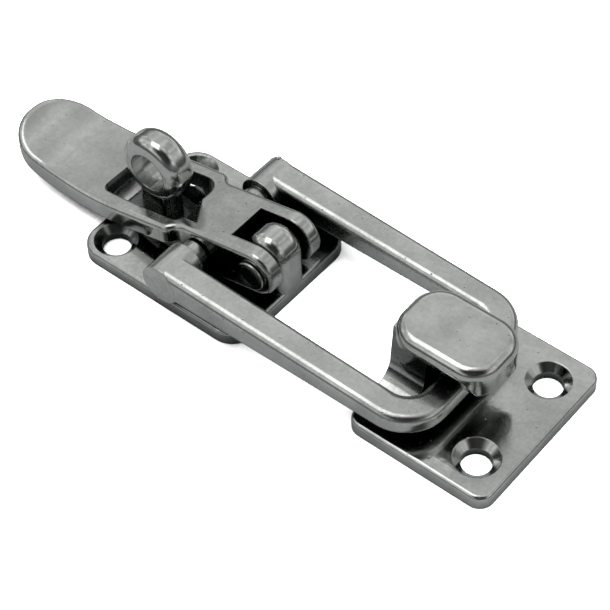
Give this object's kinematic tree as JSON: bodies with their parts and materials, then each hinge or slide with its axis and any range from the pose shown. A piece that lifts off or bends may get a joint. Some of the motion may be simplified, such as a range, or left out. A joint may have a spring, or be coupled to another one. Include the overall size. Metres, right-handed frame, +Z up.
{
  "type": "toggle bolt latch",
  "caption": "Lockable toggle latch in cast metal: a cranked lever draws a stout loop down over a keeper's hook, and a padlock eye stands up through the lever's slot.",
  "frame": {"origin": "midway between the base plate's two screw holes, on the mounting surface", "axes": "+X from the lever's free end towards the keeper, +Y across the latch, +Z up off the mounting surface"},
  "size_m": [0.1257, 0.0378, 0.0226],
  "materials": {
    "cast_base": "cast, tumbled and polished",
    "cast_eye": "cast and polished",
    "cast_lever": "cast, tumbled and polished",
    "rivet": "polished rivet head",
    "cast_loop": "cast and polished",
    "loop_rivet": "polished rivet end",
    "cast_keeper": "cast, tumbled and polished"
  },
  "bodies": {
    "base": {"base_plate": "cast_base", "padlock_eye": "cast_eye", "keeper": "cast_keeper"},
    "lever_body": {"lever": "cast_lever", "main_pivot_pin": "rivet"},
    "loop_body": {"loop": "cast_loop", "loop_pivot_pin": "loop_rivet"}
  },
  "joints": [
    {"name": "lever_pivot", "type": "hinge", "parent": "base", "child": "lever_body", "pos_m": [0.031, 0, 0.01019], "axis": [0, 1, 0], "range_deg": [0, 98]},
    {"name": "loop_pivot", "type": "hinge", "parent": "lever_body", "child": "loop_body", "pos_m": [0.0176, 0, 0.0076], "axis": [0, 1, 0], "range_deg": [-80.4, 0]}
  ],
  "couplings": [
    {"joint": "loop_pivot", "follows": "lever_pivot", "ratio": -0.82}
  ]
}
